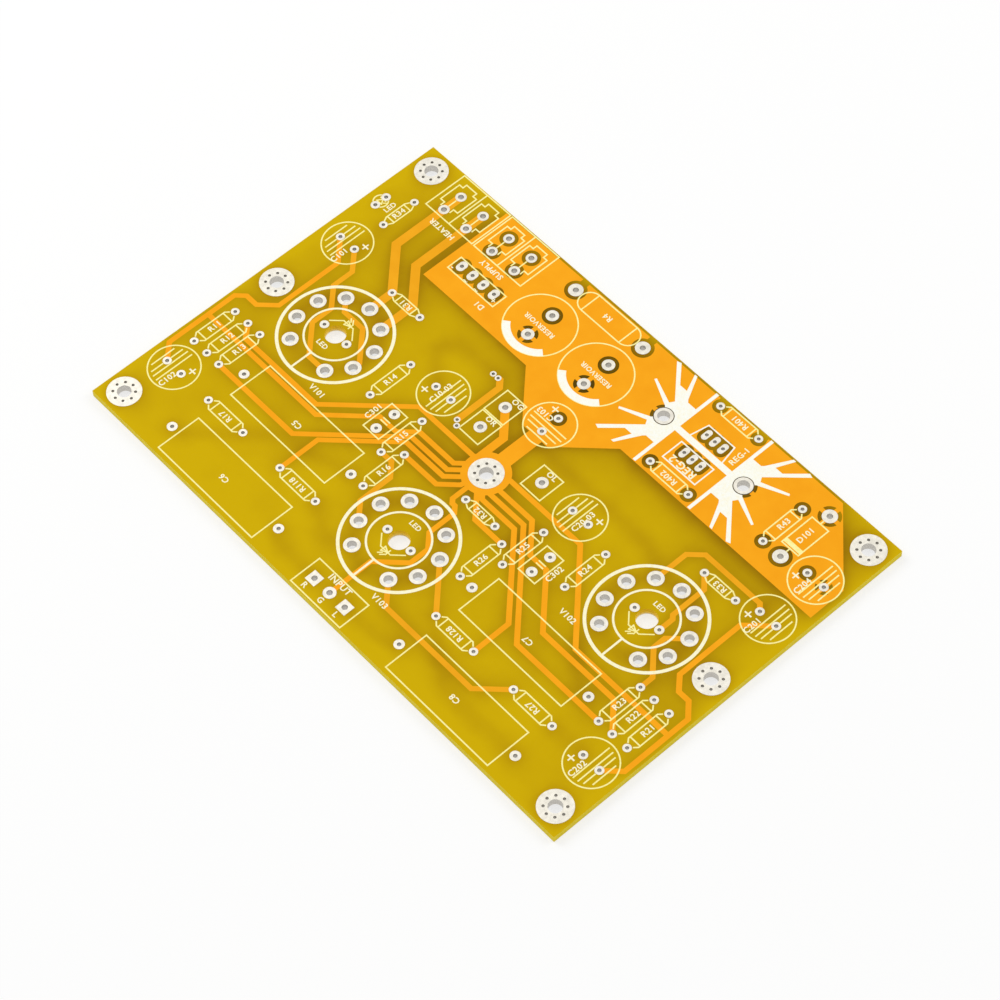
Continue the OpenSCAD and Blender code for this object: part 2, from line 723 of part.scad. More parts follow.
module clamp_mark() {
  half = terminal_w / 2;
  right = [for (s = clamp_shares) s * half];
  left = [for (i = [len(clamp_shares) - 1 : -1 : 0]) [-clamp_shares[i][0], clamp_shares[i][1]] * half];
  ink() ribbon(concat(right, left), ink_line);
  ink() translate([0, -pole_drop()]) square([ink_line, pole_rows - pole_land_d], center = true);
}

module bridge_mark() {
  ink() difference() {
    translate([bridge_shift_shares[0] * bridge_l, bridge_shift_shares[1] * bridge_w])
      box_line(bridge_l, bridge_w, ink_line);
    for (i = [0 : 3]) translate([(i - 3 / 2) * bridge_pitch, 0])
      slot(bridge_land_w + 2 * ink_gap, bridge_land_l + 2 * ink_gap);
  }
}

module diode_mark() {
  wire = (diode_pitch - diode_l) / 2;
  ink() box_line(diode_l, diode_w, ink_line);
  ink() translate([-band_share * diode_l / 2, 0]) square([diode_band, diode_w], center = true);
  ink() difference() {
    pair(diode_l + wire) square([wire, ink_line], center = true);
    pair(diode_pitch) circle(d = power_land_d + 2 * ink_gap);
  }
}

module power_mark() {
  ink() difference() {
    rotate(quarter) slot(power_w + ink_line, power_band + power_w + ink_line);
    rotate(quarter) slot(power_w - ink_line, power_band + power_w - ink_line);
    pair(power_pitch) circle(d = power_land_d + 2 * ink_gap);
  }
  ink() pair(power_band) square([ink_line, power_w], center = true);
}

module disc_mark() {
  ink() box_line(disc_w, disc_l, ink_line);
  ink() pair(2 * ink_line + ink_line / 2) square([ink_line, plate_share * disc_l], center = true);
}

mask_colour = "#c8a800";
copper_colour = "#ffa515";
tin_colour = "#e1e1e1";
ink_colour = "#fffff0";

// the laminate with its yellow mask, drilled, and recessed for the copper
module board() {
  color(mask_colour) difference() {
    translate([0, 0, land_t]) linear_extrude(board_t) difference() {
      square([board_l, board_w], center = true);
      drills();
      each_at(valve_shares) circle(d = key_hole_d);
    }
    inlay() ground_plan(over);
    inlay() heater_plan(over);
    inlay() signal_plan(over);
  }
}

// poured ground copper with its funnel, stem, star and tracks
module ground_copper() {
  color(copper_colour) difference() {
    inlay() ground_plan(copper_t);
    bores();
  }
}

// the two wide heater tracks
module heater_copper() {
  color(copper_colour) difference() {
    inlay() heater_plan(copper_t);
    bores();
  }
}

// the signal tracks
module signal_copper() {
  color(copper_colour) difference() {
    inlay() signal_plan(copper_t);
    bores();
  }
}

// lands of the mounting holes, each with a ring of vias
module mounting_lands() {
  color(tin_colour) at_mounts() difference() {
    union() {
      linear_extrude(land_t) circle(d = mount_land_d);
      translate([0, 0, top_z]) linear_extrude(land_t) circle(d = mount_land_d);
      linear_extrude(total_h) circle(d = mount_hole_d + 2 * plate_t);
      at_vias() linear_extrude(total_h) circle(d = via_hole_d + 2 * plate_t);
    }
    translate([0, 0, -over]) linear_extrude(total_h + 2 * over) {
      circle(d = mount_hole_d);
      at_vias() circle(d = via_hole_d);
    }
  }
}

module valve_lands() {
  color(tin_colour) at_pins() eyelet(pin_land_d, pin_hole_d);
}

module lamp_lands() {
  color(tin_colour) each_at(valve_shares) pair(lamp_pitch) eyelet(lamp_land_d, lamp_hole_d);
}

module resistor_lands() {
  color(tin_colour) at_resistor_leads() eyelet(resistor_land_d, resistor_hole_d);
}

module power_resistor_lands() {
  color(tin_colour) each_at([power_share]) pair(power_pitch) eyelet(power_land_d, power_hole_d);
}

module can_lands() {
  color(tin_colour) at_cans() pair(can_pitch) eyelet(can_land_d, can_hole_d);
}

module reservoir_lands() {
  color(tin_colour) at_tank_pins() eyelet(tank_land_d, tank_hole_d);
}

module film_lands() {
  color(tin_colour) each_at(film_shares) pair(film_pitch) eyelet(film_land_d, film_hole_d);
}

module disc_lands() {
  color(tin_colour) each_at(disc_shares, quarter) pair(disc_pitch) eyelet(disc_land_d, disc_hole_d);
}

module terminal_lands() {
  color(tin_colour) for (b = [0, 1]) at_poles(b) eyelet(pole_land_d, pole_hole_d);
}

module bridge_lands() {
  color(tin_colour) at_bridge_leads() shaped_eyelet(bridge_hole_d) slot(bridge_land_w, bridge_land_l);
}

module regulator_lands() {
  color(tin_colour) at_regulator_leads()
    shaped_eyelet(resistor_hole_d) slot(regulator_land_w, regulator_land_l);
}

module sink_lands() {
  color(tin_colour) each_at([sink_share]) pair(sink_pitch) eyelet(sink_land_d, sink_hole_d);
}

module diode_lands() {
  color(tin_colour) each_at([diode_share], quarter) pair(diode_pitch) eyelet(power_land_d, power_hole_d);
}

module indicator_lands() {
  color(tin_colour) each_at([signal_share], quarter) pair(signal_pitch) eyelet(lamp_land_d, can_hole_d);
}

// two square lands with a round one between them
module input_lands() {
  color(tin_colour) {
    at_inputs([-1, 1]) shaped_eyelet(wire_hole_d) square(wire_land_d, center = true);
    at_inputs([0]) eyelet(wire_land_d, wire_hole_d);
  }
}

module output_lands() {
  color(tin_colour) each_at(output_shares) eyelet(wire_land_d, wire_hole_d);
}

module link_vias() {
  color(tin_colour) each_at(link_shares) eyelet(link_land_d, link_hole_d);
}

// two circles for each socket, with a key line at the place left out
module valve_legend() {
  key_l = (socket_d - spigot_d) / 2;
  color(ink_colour) each_at(valve_shares) {
    ink() loop(socket_d, socket_line);
    ink() loop(spigot_d, spigot_line);
    ink() translate([0, -(spigot_d + key_l) / 2]) square([spigot_line, key_l], center = true);
  }
}

module resistor_legend() {
  color(ink_colour) difference() {
    union() {
      at_long_resistors() resistor_mark(long_pitch, long_l, long_w, long_band);
      at_short_resistors() resistor_mark(short_pitch, short_l, short_w, short_band);
    }
    bare() at_resistor_leads() circle(d = resistor_land_d + 2 * ink_gap);
  }
}

module power_resistor_legend() {
  color(ink_colour) each_at([power_share]) power_mark();
}

module can_legend() {
  color(ink_colour) at_cans() can_mark();
}

module reservoir_legend() {
  color(ink_colour) each_at(tank_shares) tank_mark();
}

module film_legend() {
  color(ink_colour) each_at(film_shares) ink() box_line(film_l, film_w, ink_line);
}

module disc_legend() {
  color(ink_colour) each_at(disc_shares, quarter) disc_mark();
}

module terminal_legend() {
  color(ink_colour) difference() {
    each_at(terminal_shares) {
      ink() box_line(terminal_l, terminal_w, ink_line);
      ink() square([ink_line, terminal_w], center = true);
      pair(pole_pitch) clamp_mark();
    }
    bare() for (b = [0, 1]) at_poles(b) circle(d = pole_land_d + 2 * ink_gap);
  }
}

module bridge_legend() {
  color(ink_colour) translate(at(bridge_share)) bridge_mark();
}

// heat sink seen from above, with the two regulators on its web
module sink_legend() {
  color(ink_colour) {
    translate(at(sink_share)) sink_mark();
    regulator_mark();
  }
}

module diode_legend() {
  color(ink_colour) each_at([diode_share], quarter) diode_mark();
}

module indicator_legend() {
  color(ink_colour) each_at([signal_share], quarter) ink() difference() {
    loop(signal_d, ink_line);
    pair(signal_pitch) circle(d = lamp_land_d + 2 * ink_gap);
  }
}

module input_legend() {
  color(ink_colour) translate(at(input_share)) ink() box_line(input_l, input_w, ink_line);
}

module output_legend() {
  color(ink_colour) difference() {
    each_at(output_shares) ink() box_line(output_l, output_h, ink_line);
    bare() each_at(link_shares) circle(d = link_land_d + 2 * ink_gap);
  }
}

board();
ground_copper();
heater_copper();
signal_copper();
mounting_lands();
valve_lands();
lamp_lands();
resistor_lands();
power_resistor_lands();
can_lands();
reservoir_lands();
film_lands();
disc_lands();
terminal_lands();
bridge_lands();
regulator_lands();
sink_lands();
diode_lands();
indicator_lands();
input_lands();
output_lands();
link_vias();
valve_legend();
resistor_legend();
power_resistor_legend();
can_legend();
reservoir_legend();
film_legend();
disc_legend();
terminal_legend();
bridge_legend();
sink_legend();
diode_legend();
indicator_legend();
input_legend();
output_legend();
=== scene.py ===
"""Bare circuit board of a stereo valve amplifier: its looks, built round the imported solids."""

import math

import bmesh
import bpy
import numpy as np
from mathutils import Matrix, Vector
from mathutils.bvhtree import BVHTree
from mathutils.geometry import delaunay_2d_cdt
from mathutils.kdtree import KDTree


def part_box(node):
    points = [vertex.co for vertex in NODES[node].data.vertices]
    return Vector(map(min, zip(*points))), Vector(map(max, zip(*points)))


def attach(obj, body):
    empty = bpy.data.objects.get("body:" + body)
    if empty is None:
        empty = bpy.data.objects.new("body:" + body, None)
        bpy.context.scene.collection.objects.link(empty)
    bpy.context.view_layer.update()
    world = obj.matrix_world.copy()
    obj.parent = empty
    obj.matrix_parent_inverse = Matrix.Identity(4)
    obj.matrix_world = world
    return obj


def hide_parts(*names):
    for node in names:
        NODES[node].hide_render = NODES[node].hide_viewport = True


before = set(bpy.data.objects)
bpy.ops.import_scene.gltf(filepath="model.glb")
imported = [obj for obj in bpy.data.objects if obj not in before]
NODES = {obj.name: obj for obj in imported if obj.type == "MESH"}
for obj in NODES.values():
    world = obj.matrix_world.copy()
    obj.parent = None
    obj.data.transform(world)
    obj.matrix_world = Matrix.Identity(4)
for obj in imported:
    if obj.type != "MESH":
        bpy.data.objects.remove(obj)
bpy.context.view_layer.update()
scene = bpy.context.scene

MM = 0.001
MIL = 0.0254 * MM

COPPER = [n for n in NODES if n.endswith("_copper")]
LEGENDS = [n for n in NODES if n.endswith("_legend")]
LANDS = [n for n in NODES if n.endswith("_lands") or n == "link_vias"]

BOARD_LOW, BOARD_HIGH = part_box("board")
TOP_Z = BOARD_HIGH.z
MIDDLE_Z = (BOARD_LOW.z + TOP_Z) / 2
INK_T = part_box("valve_legend")[1].z - TOP_Z


def colour(code):
    """An sRGB hex colour as linear RGBA."""
    parts = [int(code[i:i + 2], 16) / 255 for i in (1, 3, 5)]
    return [c / 12.92 if c <= 0.04045 else ((c + 0.055) / 1.055) ** 2.4 for c in parts] + [1.0]


def node(tree, kind, feeds=None, **settings):
    """Adds a node with its settings, and feeds its sockets with values or with other nodes' outputs."""
    made = tree.nodes.new(kind)
    for name, value in settings.items():
        setattr(made, name, value)
    for socket, value in (feeds or {}).items():
        if isinstance(value, bpy.types.NodeSocket):
            tree.links.new(value, made.inputs[socket])
        else:
            made.inputs[socket].default_value = value
    return made


def on_object(tree):
    """Places on the object, which the patterns of a material follow."""
    return node(tree, "ShaderNodeTexCoord").outputs["Object"]


def noise(tree, places, grain, detail):
    """Soft noise over places, with a grain of that size."""
    made = node(tree, "ShaderNodeTexNoise", {"Vector": places, "Scale": 1 / grain, "Detail": detail})
    return made.outputs["Fac"]


def tinted(tree, value, stops):
    """The colour of a value on a ramp, whose stops are pairs of place and colour."""
    made = node(tree, "ShaderNodeValToRGB", {"Fac": value})
    elements = made.color_ramp.elements
    while len(elements) < len(stops):
        elements.new(0.5)
    for element, (place, code) in zip(elements, stops):
        element.position = place
        element.color = colour(code)
    return made.outputs["Color"]


def ranged(tree, value, low, high):
    """A value from 0 to 1, brought between two ends."""
    made = node(tree, "ShaderNodeMapRange", {"Value": value, "To Min": low, "To Max": high})
    return made.outputs["Result"]


def new_material(name):
    """An empty material and its node tree."""
    made = bpy.data.materials.new(name)
    made.use_nodes = True
    made.node_tree.nodes.clear()
    return made, made.node_tree


def surface(tree, feeds):
    """Ends a material's tree with a surface that is fed as told."""
    skin = node(tree, "ShaderNodeBsdfPrincipled", feeds)
    node(tree, "ShaderNodeOutputMaterial", {"Surface": skin.outputs["BSDF"]})


# The materials. Those under the mask share its shine and the fine orange peel of its film.
MASK_SHINE = 0.04
MASK_PEEL = 0.9 * MM
MASK_ROUGH = (0.26, 0.4)
# how much finer the layers of the laminate's cloth are than its threads are long
CLOTH_LAYERS = 12
# share of plain white in the floor, where the camera sees it
FLOOR_GLOW = 0.65


def masked_laminate():
    """Glass-fibre laminate under a glossy yellow mask. The laminate lets light through, so it glows
    lemon where it is open and sinks to olive brown beside copper and lands, which keep the light out."""
    made, tree = new_material("yellow masked laminate")
    places = on_object(tree)
    light = node(tree, "ShaderNodeAttribute", attribute_name="light")
    cloud = noise(tree, places, grain=9 * MM, detail=3)
    drift = node(tree, "ShaderNodeMapRange", {"Value": cloud, "From Min": 0.3, "From Max": 0.7,
                                              "To Min": -0.045, "To Max": 0.045})
    glow = node(tree, "ShaderNodeMath", {0: light.outputs["Fac"], 1: drift.outputs["Result"]},
                operation="ADD")
    shade = tinted(tree, glow.outputs["Value"],
                   [(0.0, "#3C2E06"), (0.17, "#574306"), (0.32, "#8E6803"),
                    (0.55, "#A98203"), (0.8, "#C29D03"), (1.0, "#D2AF03")])
    peel = noise(tree, places, grain=MASK_PEEL, detail=2)
    bump = node(tree, "ShaderNodeBump", {"Height": peel, "Strength": 0.05, "Distance": 0.02 * MM})
    surface(tree, {"Base Color": shade, "Specular IOR Level": MASK_SHINE,
                   "Roughness": ranged(tree, peel, *MASK_ROUGH), "Normal": bump.outputs["Normal"]})
    return made


def cut_laminate():
    """Sawn glass-fibre laminate, lit through from the face. It is dull and lemon, with the layers of its
    cloth as fine lines."""
    made, tree = new_material("cut glass-fibre laminate")
    layers = node(tree, "ShaderNodeMapping", {"Vector": on_object(tree), "Scale": (1, 1, CLOTH_LAYERS)})
    fibre = noise(tree, layers.outputs["Vector"], grain=2 * MM, detail=4)
    tint = tinted(tree, fibre, [(0.3, "#D6BE1C"), (0.7, "#EAD43C")])
    surface(tree, {"Base Color": tint, "Roughness": 0.6, "Specular IOR Level": 0.1})
    return made


def drilled_laminate():
    """Laminate drilled through by a wide hole. Its wall is as yellow as the face at the rim, and fades to
    pale straw lower down, where the light of the room comes in from below."""
    made, tree = new_material("drilled glass-fibre laminate")
    split = node(tree, "ShaderNodeSeparateXYZ", {"Vector": on_object(tree)})
    height = node(tree, "ShaderNodeMapRange", {"Value": split.outputs["Z"], "From Min": BOARD_LOW.z,
                                               "From Max": TOP_Z})
    tint = tinted(tree, height.outputs["Result"],
                  [(0.0, "#FFF8DC"), (0.2, "#F6DE80"), (0.5, "#EFCB34"), (1.0, "#E6BE16")])
    surface(tree, {"Base Color": tint, "Roughness": 0.6, "Specular IOR Level": 0.1})
    return made


def bare_laminate_and_shade():
    """Laminate that neither print nor copper covers, over the dark of the board. It is deep olive and matt,
    and much of that dark is painted shade at the edge of a land."""
    made, tree = new_material("bare glass-fibre laminate and painted shade")
    fibre = noise(tree, on_object(tree), grain=0.5 * MM, detail=2)
    # the deep olive is painted shade beside the land, laid over the laminate's own colour
    tint = tinted(tree, fibre, [(0.3, "#372C0A"), (0.7, "#54430F")])
    surface(tree, {"Base Color": tint, "Roughness": 0.6})
    return made


def masked_copper(name, low, high):
    """Copper foil under the yellow mask. The film turns it to a clear orange with a soft gloss, a little
    duller on a track than on the pour, and the foil's grain shows as a slight unevenness."""
    made, tree = new_material(name)
    places = on_object(tree)
    grain = noise(tree, places, grain=5 * MM, detail=5)
    peel = noise(tree, places, grain=MASK_PEEL, detail=2)
    surface(tree, {"Base Color": tinted(tree, grain, [(0.3, low), (0.7, high)]),
                   "Specular IOR Level": MASK_SHINE, "Roughness": ranged(tree, peel, *MASK_ROUGH)})
    return made


def tinned_copper_and_wall_shade():
    """Copper land levelled with hot solder. It is a pale satin metal that takes the light of the room, with
    shallow waves where the solder ran. Its upright walls are painted duller and greyer, as shade down in the
    plated holes."""
    made, tree = new_material("hot tinned copper with painted wall shade")
    places = node(tree, "ShaderNodeTexCoord")
    waves = noise(tree, places.outputs["Object"], grain=0.8 * MM, detail=3)
    tint = tinted(tree, waves, [(0.3, "#DFDACD"), (0.7, "#EDE8DB")])
    # the grey given to upright faces, as in the plated holes, is painted shade
    facing = node(tree, "ShaderNodeSeparateXYZ", {"Vector": places.outputs["Normal"]})
    flat = node(tree, "ShaderNodeMath", {0: facing.outputs["Z"]}, operation="ABSOLUTE")
    # sockets 0, 6 and 7 of a colour mix are its share and its two colours, and output 2 is the mixed colour
    finish = node(tree, "ShaderNodeMix", {0: flat.outputs["Value"], 6: colour("#D2CEC6"), 7: tint},
                  data_type="RGBA")
    bump = node(tree, "ShaderNodeBump", {"Height": waves, "Strength": 0.15, "Distance": 0.03 * MM})
    surface(tree, {"Base Color": finish.outputs[2], "Metallic": 1.0,
                   "Roughness": ranged(tree, waves, 0.3, 0.5), "Normal": bump.outputs["Normal"]})
    return made


def printed_ink(name, thin, full):
    """Epoxy ink that was pressed through a screen. It is matt, with a slightly uneven cover: warm white
    where it lies thick, and tinged by the mask under it in a thin line."""
    made, tree = new_material(name)
    cover = noise(tree, on_object(tree), grain=0.6 * MM, detail=3)
    surface(tree, {"Base Color": tinted(tree, cover, [(0.25, thin), (0.6, full)]), "Roughness": 0.55})
    return made


def shown(tree):
    """1 for a ray from the camera, or from a metal or a glass that shows the background, and 0 for one
    that lights."""
    path = node(tree, "ShaderNodeLightPath")
    seen = path.outputs["Is Camera Ray"]
    for way in ("Is Glossy Ray", "Is Transmission Ray"):
        either = node(tree, "ShaderNodeMath", {0: seen, 1: path.outputs[way]}, operation="MAXIMUM")
        seen = either.outputs["Value"]
    return seen


def studio_floor():
    """White paper sweep. Seen directly it is white, and it keeps a soft shadow."""
    made, tree = new_material("white paper sweep")
    paper = node(tree, "ShaderNodeBsdfDiffuse", {"Color": colour("#FEFEFD")})
    glow = node(tree, "ShaderNodeEmission", {"Color": colour("#FFFFFF"), "Strength": 1.0})
    share = node(tree, "ShaderNodeMath", {0: shown(tree), 1: FLOOR_GLOW}, operation="MULTIPLY")
    both = node(tree, "ShaderNodeMixShader", {0: share.outputs["Value"], 1: paper.outputs["BSDF"],
                                              2: glow.outputs["Emission"]})
    node(tree, "ShaderNodeOutputMaterial", {"Surface": both.outputs["Shader"]})
    return made


MASK = masked_laminate()
CUT = cut_laminate()
DRILLED = drilled_laminate()
BARE_AND_SHADE = bare_laminate_and_shade()
POUR = masked_copper("copper pour under yellow mask", "#FAA518", "#FFAD1D")
TRACK = masked_copper("copper track under yellow mask", "#F1A61A", "#F8AE1F")
TIN_AND_WALL_SHADE = tinned_copper_and_wall_shade()
INK = printed_ink("screen printed epoxy ink", "#FFF3B8", "#FFFBDA")
THIN_INK = printed_ink("thin screen printed epoxy ink", "#FFEE84", "#FFF8A8")
THICK_INK = printed_ink("thick screen printed epoxy ink", "#FFFAE0", "#FFFFF5")


def dress(names, finish):
    """Gives solids of the frame their material."""
    for name in names:
        NODES[name].data.materials.clear()
        NODES[name].data.materials.append(finish)


dress(COPPER, TRACK)
dress(["ground_copper"], POUR)
dress(LANDS, TIN_AND_WALL_SHADE)
dress(LEGENDS, THIN_INK)
dress(["valve_legend"], INK)
dress(["sink_legend"], THICK_INK)


def piece(name, mesh, slot, *finishes):
    """A finished piece that rides the board."""
    for finish in finishes:
        mesh.materials.append(finish)
    made = bpy.data.objects.new(name, mesh)
    scene.collection.objects.link(made)
    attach(made, "root")
    return made


def finished(name, bm, slot, finish):
    """Makes a piece from a bmesh that is done with."""
    mesh = bpy.data.meshes.new(name + "_mesh")
    bm.to_mesh(mesh)
    bm.free()
    piece(name, mesh, slot, finish)


# The board, with the light that its laminate passes. Places on it are in mils from its middle, as a board
# maker gives them.
SOCKETS = [(-2001, -40), (2016, -40), (12, -1048)]
# radius of a socket's circle of pins, and how far the walls of the open hole in its middle reach
PIN_CIRCLE = 404
KEY_REACH = 130
# size of the even triangles of a flat face, and pixel and margin of the maps of light
CELL = 1.2 * MM
PIXEL = 0.3 * MM
PAD = 12 * MM
# shade beside copper and lands, as shares that each fade over a reach of their own
COPPER_SHADE = [(0.14, 0.8 * MM), (0.45, 2 * MM), (0.41, 8 * MM)]
# share and reach of the shade over the lower tracks, and of the light that comes in at the edges
LOWER_SHADE, LOWER_REACH = 0.22, 1.4 * MM
EDGE_LIGHT, EDGE_REACH = 0.18, 2.5 * MM
# share of the shade from above that shows on the underside
UNDER_SHARE = 0.5
# width of the shade over a circle of pins, and the turn between its corners in degrees
RING_WIDTH = 130
RING_STEP = 15
# upward share of the normal of a flat face, depth of what counts as the top, and slack of a level
FLAT = 0.5
TOP_DEPTH = 0.2 * MM
LEVEL_SLACK = 0.01 * MM
# points nearer than this are one
WELD = 0.001 * MM
# rays start this far clear of a face
CLEAR = MM
DOWN = Vector((0, 0, -1))


def covered():
    """A map of where copper or a land keeps light out of the top face, with a margin round the board."""
    points, faces = [], []
    for name in COPPER + LANDS:
        mesh = NODES[name].data
        start = len(points)
        points += [v.co.copy() for v in mesh.vertices]
        faces += [[start + i for i in p.vertices] for p in mesh.polygons if p.normal.z > FLAT]
    tree = BVHTree.FromPolygons(points, faces)
    low = BOARD_LOW - Vector((PAD, PAD, 0))
    high = BOARD_HIGH + Vector((PAD, PAD, 0))
    across = int((high.x - low.x) / PIXEL)
    up = int((high.y - low.y) / PIXEL)
    found = np.zeros((up, across))
    for row in range(up):
        for column in range(across):
            start = Vector((low.x + (column + 0.5) * PIXEL, low.y + (row + 0.5) * PIXEL, TOP_Z + CLEAR))
            hit = tree.ray_cast(start, DOWN)
            if hit[0] is not None and hit[0].z > TOP_Z - TOP_DEPTH:
                found[row, column] = 1.0
    return found, low


# tracks of the lower face, which show through the laminate as soft bands: width of the band and its route
LOWER_TRACKS = [
    (110, [(15, 597), (150, 465), (1500, 465), (1650, 400), (1777, 286)]),
    (100, [(882, 1068), (744, 930), (2560, 930), (2609, 860), (2609, 700)]),
    (100, [(-715, 695), (-1150, 690), (-1290, 520), (-1060, 330), (-967, 238)]),
    (90, [(-2222, -1726), (-2090, -1700), (-1750, -1316)]),
    (90, [(-1750, -1316), (-1480, -1090), (-1200, -1040), (-900, -910), (-778, -910)]),
    (90, [(-778, -1726), (-640, -1825), (-188, -1824)]),
    (90, [(790, -1726), (660, -1805), (206, -1824)]),
    (90, [(-775, -1316), (-610, -1400), (-460, -1490), (-360, -1490), (-228, -1376)]),
    (90, [(2234, -1726), (1500, -1740), (1280, -1680), (1080, -1560), (860, -1380), (793, -1318)]),
    (90, [(2234, -1318), (2606, -1314)]),
    (90, [(2234, -910), (2060, -880), (1790, -610), (1777, -369)]),
    (90, [(2460, -534), (2560, -270), (2395, -169)]),
    (90, [(-2634, 1074), (-2600, 960), (-2510, 790), (-2603, 700)]),
    (90, [(639, -436), (720, -355), (720, -170), (795, -96)]),
]


def across_map(shape, low):
    """The places of a map's pixels."""
    rows, columns = np.indices(shape)
    return low.x + (columns + 0.5) * PIXEL, low.y + (rows + 0.5) * PIXEL


def beyond(shape, low):
    """A map of what lies beyond the edges of the board, where light enters the laminate."""
    x, y = across_map(shape, low)
    aside = (x < BOARD_LOW.x) | (x > BOARD_HIGH.x)
    return (aside | (y < BOARD_LOW.y) | (y > BOARD_HIGH.y)).astype(float)


def pin_ring(x, y):
    """Width and route of the shade over a socket's circle of pins."""
    turns = [math.radians(RING_STEP * i) for i in range(360 // RING_STEP + 1)]
    return RING_WIDTH, [(x + PIN_CIRCLE * math.cos(t), y + PIN_CIRCLE * math.sin(t)) for t in turns]


def traced(shape, low):
    """A map of where the lower tracks run, with the circles of pins."""
    x, y = [places / MIL for places in across_map(shape, low)]
    found = np.zeros(shape)
    for width, route in LOWER_TRACKS + [pin_ring(*socket) for socket in SOCKETS]:
        for (ax, ay), (bx, by) in zip(route, route[1:]):
            run = (bx - ax) ** 2 + (by - ay) ** 2
            share = np.clip(((x - ax) * (bx - ax) + (y - ay) * (by - ay)) / run, 0, 1)
            away = np.hypot(x - ax - share * (bx - ax), y - ay - share * (by - ay))
            found[away < width / 2] = 1.0
    return found


def blur(picture, reach):
    """The map blurred by a bell curve of that reach in metres."""
    steps = int(3 * reach / PIXEL)
    bell = np.exp(-0.5 * (np.arange(-steps, steps + 1) * PIXEL / reach) ** 2)
    bell /= bell.sum()
    for axis in (0, 1):
        picture = np.apply_along_axis(np.convolve, axis, picture, bell, "same")
    return picture


def shading():
    """A map of how much the laminate darkens, and the place of its corner."""
    dark, low = covered()
    shade = sum(share * blur(dark, reach) for share, reach in COPPER_SHADE)
    shade += (LOWER_SHADE * blur(traced(dark.shape, low), LOWER_REACH)
              - EDGE_LIGHT * blur(beyond(dark.shape, low), EDGE_REACH))
    return shade, low


def even_face(bm, level, side):
    """Lays a flat face of the board out again in even triangles, inside the same rims, so that it can carry
    the light. The face is at that level, and side is 1 for the top and -1 for the underside."""
    bm.normal_update()
    bm.verts.index_update()
    old = [f for f in bm.faces
           if f.normal.z * side > FLAT and abs(f.calc_center_median().z - level) < LEVEL_SLACK]
    bare = BVHTree.FromPolygons([v.co.copy() for v in bm.verts], [[v.index for v in f.verts] for f in old])
    bmesh.ops.delete(bm, geom=old, context="FACES_ONLY")
    while True:
        long_rims = [e for e in bm.edges if e.is_boundary and e.calc_length() > CELL]
        if not long_rims:
            break
        bmesh.ops.subdivide_edges(bm, edges=long_rims, cuts=1)
    bmesh.ops.triangulate(bm, faces=[f for f in bm.faces if len(f.verts) > 3])
    rims = [e for e in bm.edges if e.is_boundary]
    bm.verts.index_update()
    corners = sorted({v for e in rims for v in e.verts}, key=lambda v: v.index)
    place = {v: i for i, v in enumerate(corners)}
    near = KDTree(len(corners))
    for i, v in enumerate(corners):
        near.insert(v.co, i)
    near.balance()

    def on_face(x, y):
        return bare.ray_cast(Vector((x, y, level + side * CLEAR)), DOWN * side)[0] is not None

    flat = [Vector((v.co.x, v.co.y)) / MM for v in corners]
    for x in np.arange(BOARD_LOW.x + CELL / 2, BOARD_HIGH.x, CELL):
        for y in np.arange(BOARD_LOW.y + CELL / 2, BOARD_HIGH.y, CELL):
            if on_face(x, y) and near.find((x, y, level))[2] > CELL / 3:
                flat.append(Vector((x, y)) / MM)
    links = [(place[e.verts[0]], place[e.verts[1]]) for e in rims]
    points, _, faces, origins, _, _ = delaunay_2d_cdt(flat, links, [], 0, 1e-6)
    known = [corners[o[0]] if o and o[0] < len(corners) else None for o in origins]
    made = [v or bm.verts.new((p.x * MM, p.y * MM, level)) for v, p in zip(known, points)]
    for face in faces:
        middle = sum((points[i] for i in face), Vector((0, 0))) / len(face) * MM
        if on_face(middle.x, middle.y):
            bm.faces.new([made[i] for i in face[::side]])
    bm.normal_update()


def make_board():
    """The laminate, whose flat faces carry the light as an attribute."""
    bm = bmesh.new()
    bm.from_mesh(NODES["board"].data)
    bmesh.ops.remove_doubles(bm, verts=bm.verts, dist=WELD)
    even_face(bm, TOP_Z, 1)
    even_face(bm, BOARD_LOW.z, -1)
    finishes = [MASK, CUT, DRILLED]
    keys = [Vector(place) * MIL for place in SOCKETS]
    for f in bm.faces:
        middle = f.calc_center_median().xy
        in_key = any((middle - key).length < KEY_REACH * MIL for key in keys)
        finish = MASK if abs(f.normal.z) > FLAT else DRILLED if in_key else CUT
        f.material_index = finishes.index(finish)
    mesh = bpy.data.meshes.new("board_mesh")
    bm.to_mesh(mesh)
    bm.free()
    shade, low = shading()
    light = mesh.attributes.new("light", "FLOAT", "POINT")
    values = []
    for v in mesh.vertices:
        column = min(int((v.co.x - low.x) / PIXEL), shade.shape[1] - 1)
        row = min(int((v.co.y - low.y) / PIXEL), shade.shape[0] - 1)
        values.append(1 - shade[row, column] * (1 if v.co.z > MIDDLE_Z else UNDER_SHARE))
    light.data.foreach_set("value", values)
    made = piece("board_laminate", mesh, "mask", *finishes)
    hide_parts("board")


# how far a lower track stops short of the middle of a pin's hole or of a lead's, and how near to a circle
# of pins an end is a pin
PIN_STOP = 72
LEAD_STOP = 48
PIN_SLACK = 30
# a lower track's share of the width of its soft band, and its heights in turn, below the board
LOWER_SHARE = 0.5
LOWER_T = (-0.035 * MM, -0.03 * MM)
BOX_FACES = 6
# the heat sink's tabs, and the radii, height and sides of the bare ring round each, which is dark with
# painted shade
SINK_TABS = [(620, 1480), (1612, 1480)]
RIM = (2.21 * MM, 2.41 * MM)
RIM_T = 0.012 * MM
RIM_STEPS = 64
# the reservoir cans, and the bold band that marks the negative side of each
TANKS = [(-837, 1354), (-105, 1352)]
BAND = (6.72 * MM, 8.6 * MM)
BAND_T = 1.05 * INK_T
BAND_TURN = math.radians(104)
BAND_MIDDLE = math.radians(-90)
BAND_STEPS = 32


